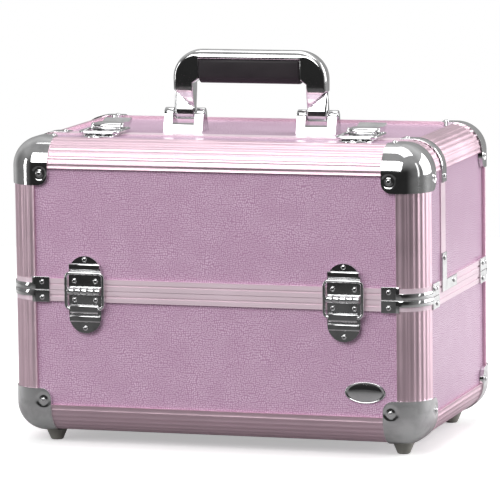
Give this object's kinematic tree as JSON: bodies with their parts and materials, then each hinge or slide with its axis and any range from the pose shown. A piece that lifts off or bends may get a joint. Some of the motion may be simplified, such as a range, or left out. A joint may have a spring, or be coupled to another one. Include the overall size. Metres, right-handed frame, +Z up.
{
  "type": "makeup train case",
  "caption": "Hard-sided beauty train case with fluted round edges, ball corners, a fold-down carrying handle, clamshell lids opening to front and rear, draw latches and swing-out trays.",
  "frame": {"origin": "middle of the case in plan, on the surface its feet stand on", "axes": "+Z up, front towards -Y, +X to the right seen from the front"},
  "size_m": [0.3648, 0.2374, 0.3255],
  "materials": {
    "panel_skin": "embossed reptile-pattern laminate, satin gloss",
    "floor_board": "plain laminate",
    "edge_rail": "fluted, pink anodised satin",
    "seam_frame": "pink anodised satin",
    "bright_trim": "polished nickel-chrome plate",
    "rivets": "domed, polished",
    "grip": "charcoal, fine texture",
    "feet": "moulded grey, satin",
    "lining": "black flocked cloth",
    "trays": "black flocked plastic",
    "arms": "zinc-plated strip"
  },
  "bodies": {
    "base": {"base_back_panel": "panel_skin", "base_front_panel": "panel_skin", "base_side_panels": "panel_skin", "base_floor_panel": "floor_board", "base_corner_posts": "edge_rail", "base_bottom_rails": "edge_rail", "base_rim_frame": "seam_frame", "base_ball_corners": "bright_trim", "base_corner_wraps": "bright_trim", "base_lining": "lining", "base_rivets": "rivets", "badge_plate": "bright_trim", "rubber_feet": "feet", "front_hinge_lower_leaves": "bright_trim", "rear_hinge_lower_leaves": "bright_trim", "hinge_pins": "bright_trim", "tray_pivot_studs": "arms"},
    "front_lid": {"front_lid_panel": "panel_skin", "front_lid_side_strips": "panel_skin", "front_lid_top_strip": "panel_skin", "front_lid_corner_posts": "edge_rail", "front_lid_top_rails": "edge_rail", "front_lid_rim_frame": "seam_frame", "front_lid_ball_corners": "bright_trim", "front_lid_corner_wraps": "bright_trim", "front_lid_lining": "lining", "front_lid_rivets": "rivets", "front_hinge_upper_leaves": "bright_trim", "latch_catch_plates": "bright_trim"},
    "rear_lid": {"rear_lid_back_panel": "panel_skin", "rear_lid_side_panels": "panel_skin", "rear_lid_top_panel": "panel_skin", "rear_lid_corner_posts": "edge_rail", "rear_lid_top_rails": "edge_rail", "rear_lid_rim_frame": "seam_frame", "rear_lid_parting_frame": "seam_frame", "rear_lid_ball_corners": "bright_trim", "rear_lid_corner_wraps": "bright_trim", "rear_lid_edge_trims": "bright_trim", "rear_lid_angle_brackets": "bright_trim", "rear_lid_lining": "lining", "rear_lid_rivets": "rivets", "rear_hinge_upper_leaves": "bright_trim", "latch_base_plates": "bright_trim", "handle_brackets": "bright_trim", "handle_pins": "bright_trim"},
    "handle": {"handle_bow": "bright_trim", "handle_grip": "grip"},
    "latch_lever_left": {"latch_lever_left": "bright_trim"},
    "latch_lever_right": {"latch_lever_right": "bright_trim"},
    "latch_ring_left": {"latch_ring_left": "bright_trim"},
    "latch_ring_right": {"latch_ring_right": "bright_trim"},
    "front_hinge_rings": {"front_hinge_rings": "bright_trim"},
    "rear_hinge_rings": {"rear_hinge_rings": "bright_trim"},
    "front_tray_arms": {"front_tray_arms": "arms"},
    "front_tray_links": {"front_tray_links": "arms"},
    "front_tray": {"front_tray": "trays"},
    "rear_tray_arms": {"rear_tray_arms": "arms"},
    "rear_tray_links": {"rear_tray_links": "arms"},
    "rear_tray": {"rear_tray": "trays"}
  },
  "joints": [
    {"name": "front_lid_hinge", "type": "hinge", "parent": "base", "child": "front_lid", "pos_m": [0, -0.1155, 0.1325], "axis": [1, 0, 0], "range_deg": [0, 100]},
    {"name": "rear_lid_hinge", "type": "hinge", "parent": "base", "child": "rear_lid", "pos_m": [0, 0.1155, 0.1325], "axis": [-1, 0, 0], "range_deg": [0, 100]},
    {"name": "handle_pivot", "type": "hinge", "parent": "rear_lid", "child": "handle", "pos_m": [0, 0, 0.2705], "axis": [1, 0, 0], "range_deg": [-85, 85]},
    {"name": "latch_lever_left_pivot", "type": "hinge", "parent": "rear_lid", "child": "latch_lever_left", "pos_m": [-0.1125, -0.047, 0.263], "axis": [1, 0, 0], "range_deg": [0, 120]},
    {"name": "latch_ring_left_pivot", "type": "hinge", "parent": "latch_lever_left", "child": "latch_ring_left", "pos_m": [-0.1125, -0.038, 0.261], "axis": [-1, 0, 0], "range_deg": [0, 146]},
    {"name": "latch_lever_right_pivot", "type": "hinge", "parent": "rear_lid", "child": "latch_lever_right", "pos_m": [0.1125, -0.047, 0.263], "axis": [1, 0, 0], "range_deg": [0, 120]},
    {"name": "latch_ring_right_pivot", "type": "hinge", "parent": "latch_lever_right", "child": "latch_ring_right", "pos_m": [0.1125, -0.038, 0.261], "axis": [-1, 0, 0], "range_deg": [0, 146]},
    {"name": "front_hinge_ring_pivot", "type": "hinge", "parent": "base", "child": "front_hinge_rings", "pos_m": [0, -0.1147, 0.1175], "axis": [1, 0, 0], "range_deg": [0, 73]},
    {"name": "front_tray_arm_pivot", "type": "hinge", "parent": "base", "child": "front_tray_arms", "pos_m": [0, -0.08, 0.1245], "axis": [1, 0, 0], "range_deg": [0, 71]},
    {"name": "front_tray_link_pivot", "type": "hinge", "parent": "base", "child": "front_tray_links", "pos_m": [0, -0.06, 0.1245], "axis": [1, 0, 0], "range_deg": [0, 71]},
    {"name": "front_tray_level_pivot", "type": "hinge", "parent": "front_tray_arms", "child": "front_tray", "pos_m": [0, -0.03985, 0.18184], "axis": [1, 0, 0], "range_deg": [-71, 0]},
    {"name": "rear_hinge_ring_pivot", "type": "hinge", "parent": "base", "child": "rear_hinge_rings", "pos_m": [0, 0.1147, 0.1175], "axis": [-1, 0, 0], "range_deg": [0, 73]},
    {"name": "rear_tray_arm_pivot", "type": "hinge", "parent": "base", "child": "rear_tray_arms", "pos_m": [0, 0.08, 0.1245], "axis": [-1, 0, 0], "range_deg": [0, 71]},
    {"name": "rear_tray_link_pivot", "type": "hinge", "parent": "base", "child": "rear_tray_links", "pos_m": [0, 0.06, 0.1245], "axis": [-1, 0, 0], "range_deg": [0, 71]},
    {"name": "rear_tray_level_pivot", "type": "hinge", "parent": "rear_tray_arms", "child": "rear_tray", "pos_m": [0, 0.03985, 0.18184], "axis": [-1, 0, 0], "range_deg": [-71, 0]}
  ],
  "couplings": [
    {"joint": "latch_ring_left_pivot", "follows": "latch_lever_left_pivot", "ratio": 1.2083},
    {"joint": "latch_ring_right_pivot", "follows": "latch_lever_right_pivot", "ratio": 1.2083},
    {"joint": "front_hinge_ring_pivot", "follows": "front_lid_hinge", "ratio": 0.72},
    {"joint": "front_tray_arm_pivot", "follows": "front_lid_hinge", "ratio": 0.7},
    {"joint": "front_tray_link_pivot", "follows": "front_lid_hinge", "ratio": 0.7},
    {"joint": "front_tray_level_pivot", "follows": "front_lid_hinge", "ratio": -0.7},
    {"joint": "rear_hinge_ring_pivot", "follows": "rear_lid_hinge", "ratio": 0.72},
    {"joint": "rear_tray_arm_pivot", "follows": "rear_lid_hinge", "ratio": 0.7},
    {"joint": "rear_tray_link_pivot", "follows": "rear_lid_hinge", "ratio": 0.7},
    {"joint": "rear_tray_level_pivot", "follows": "rear_lid_hinge", "ratio": -0.7}
  ]
}
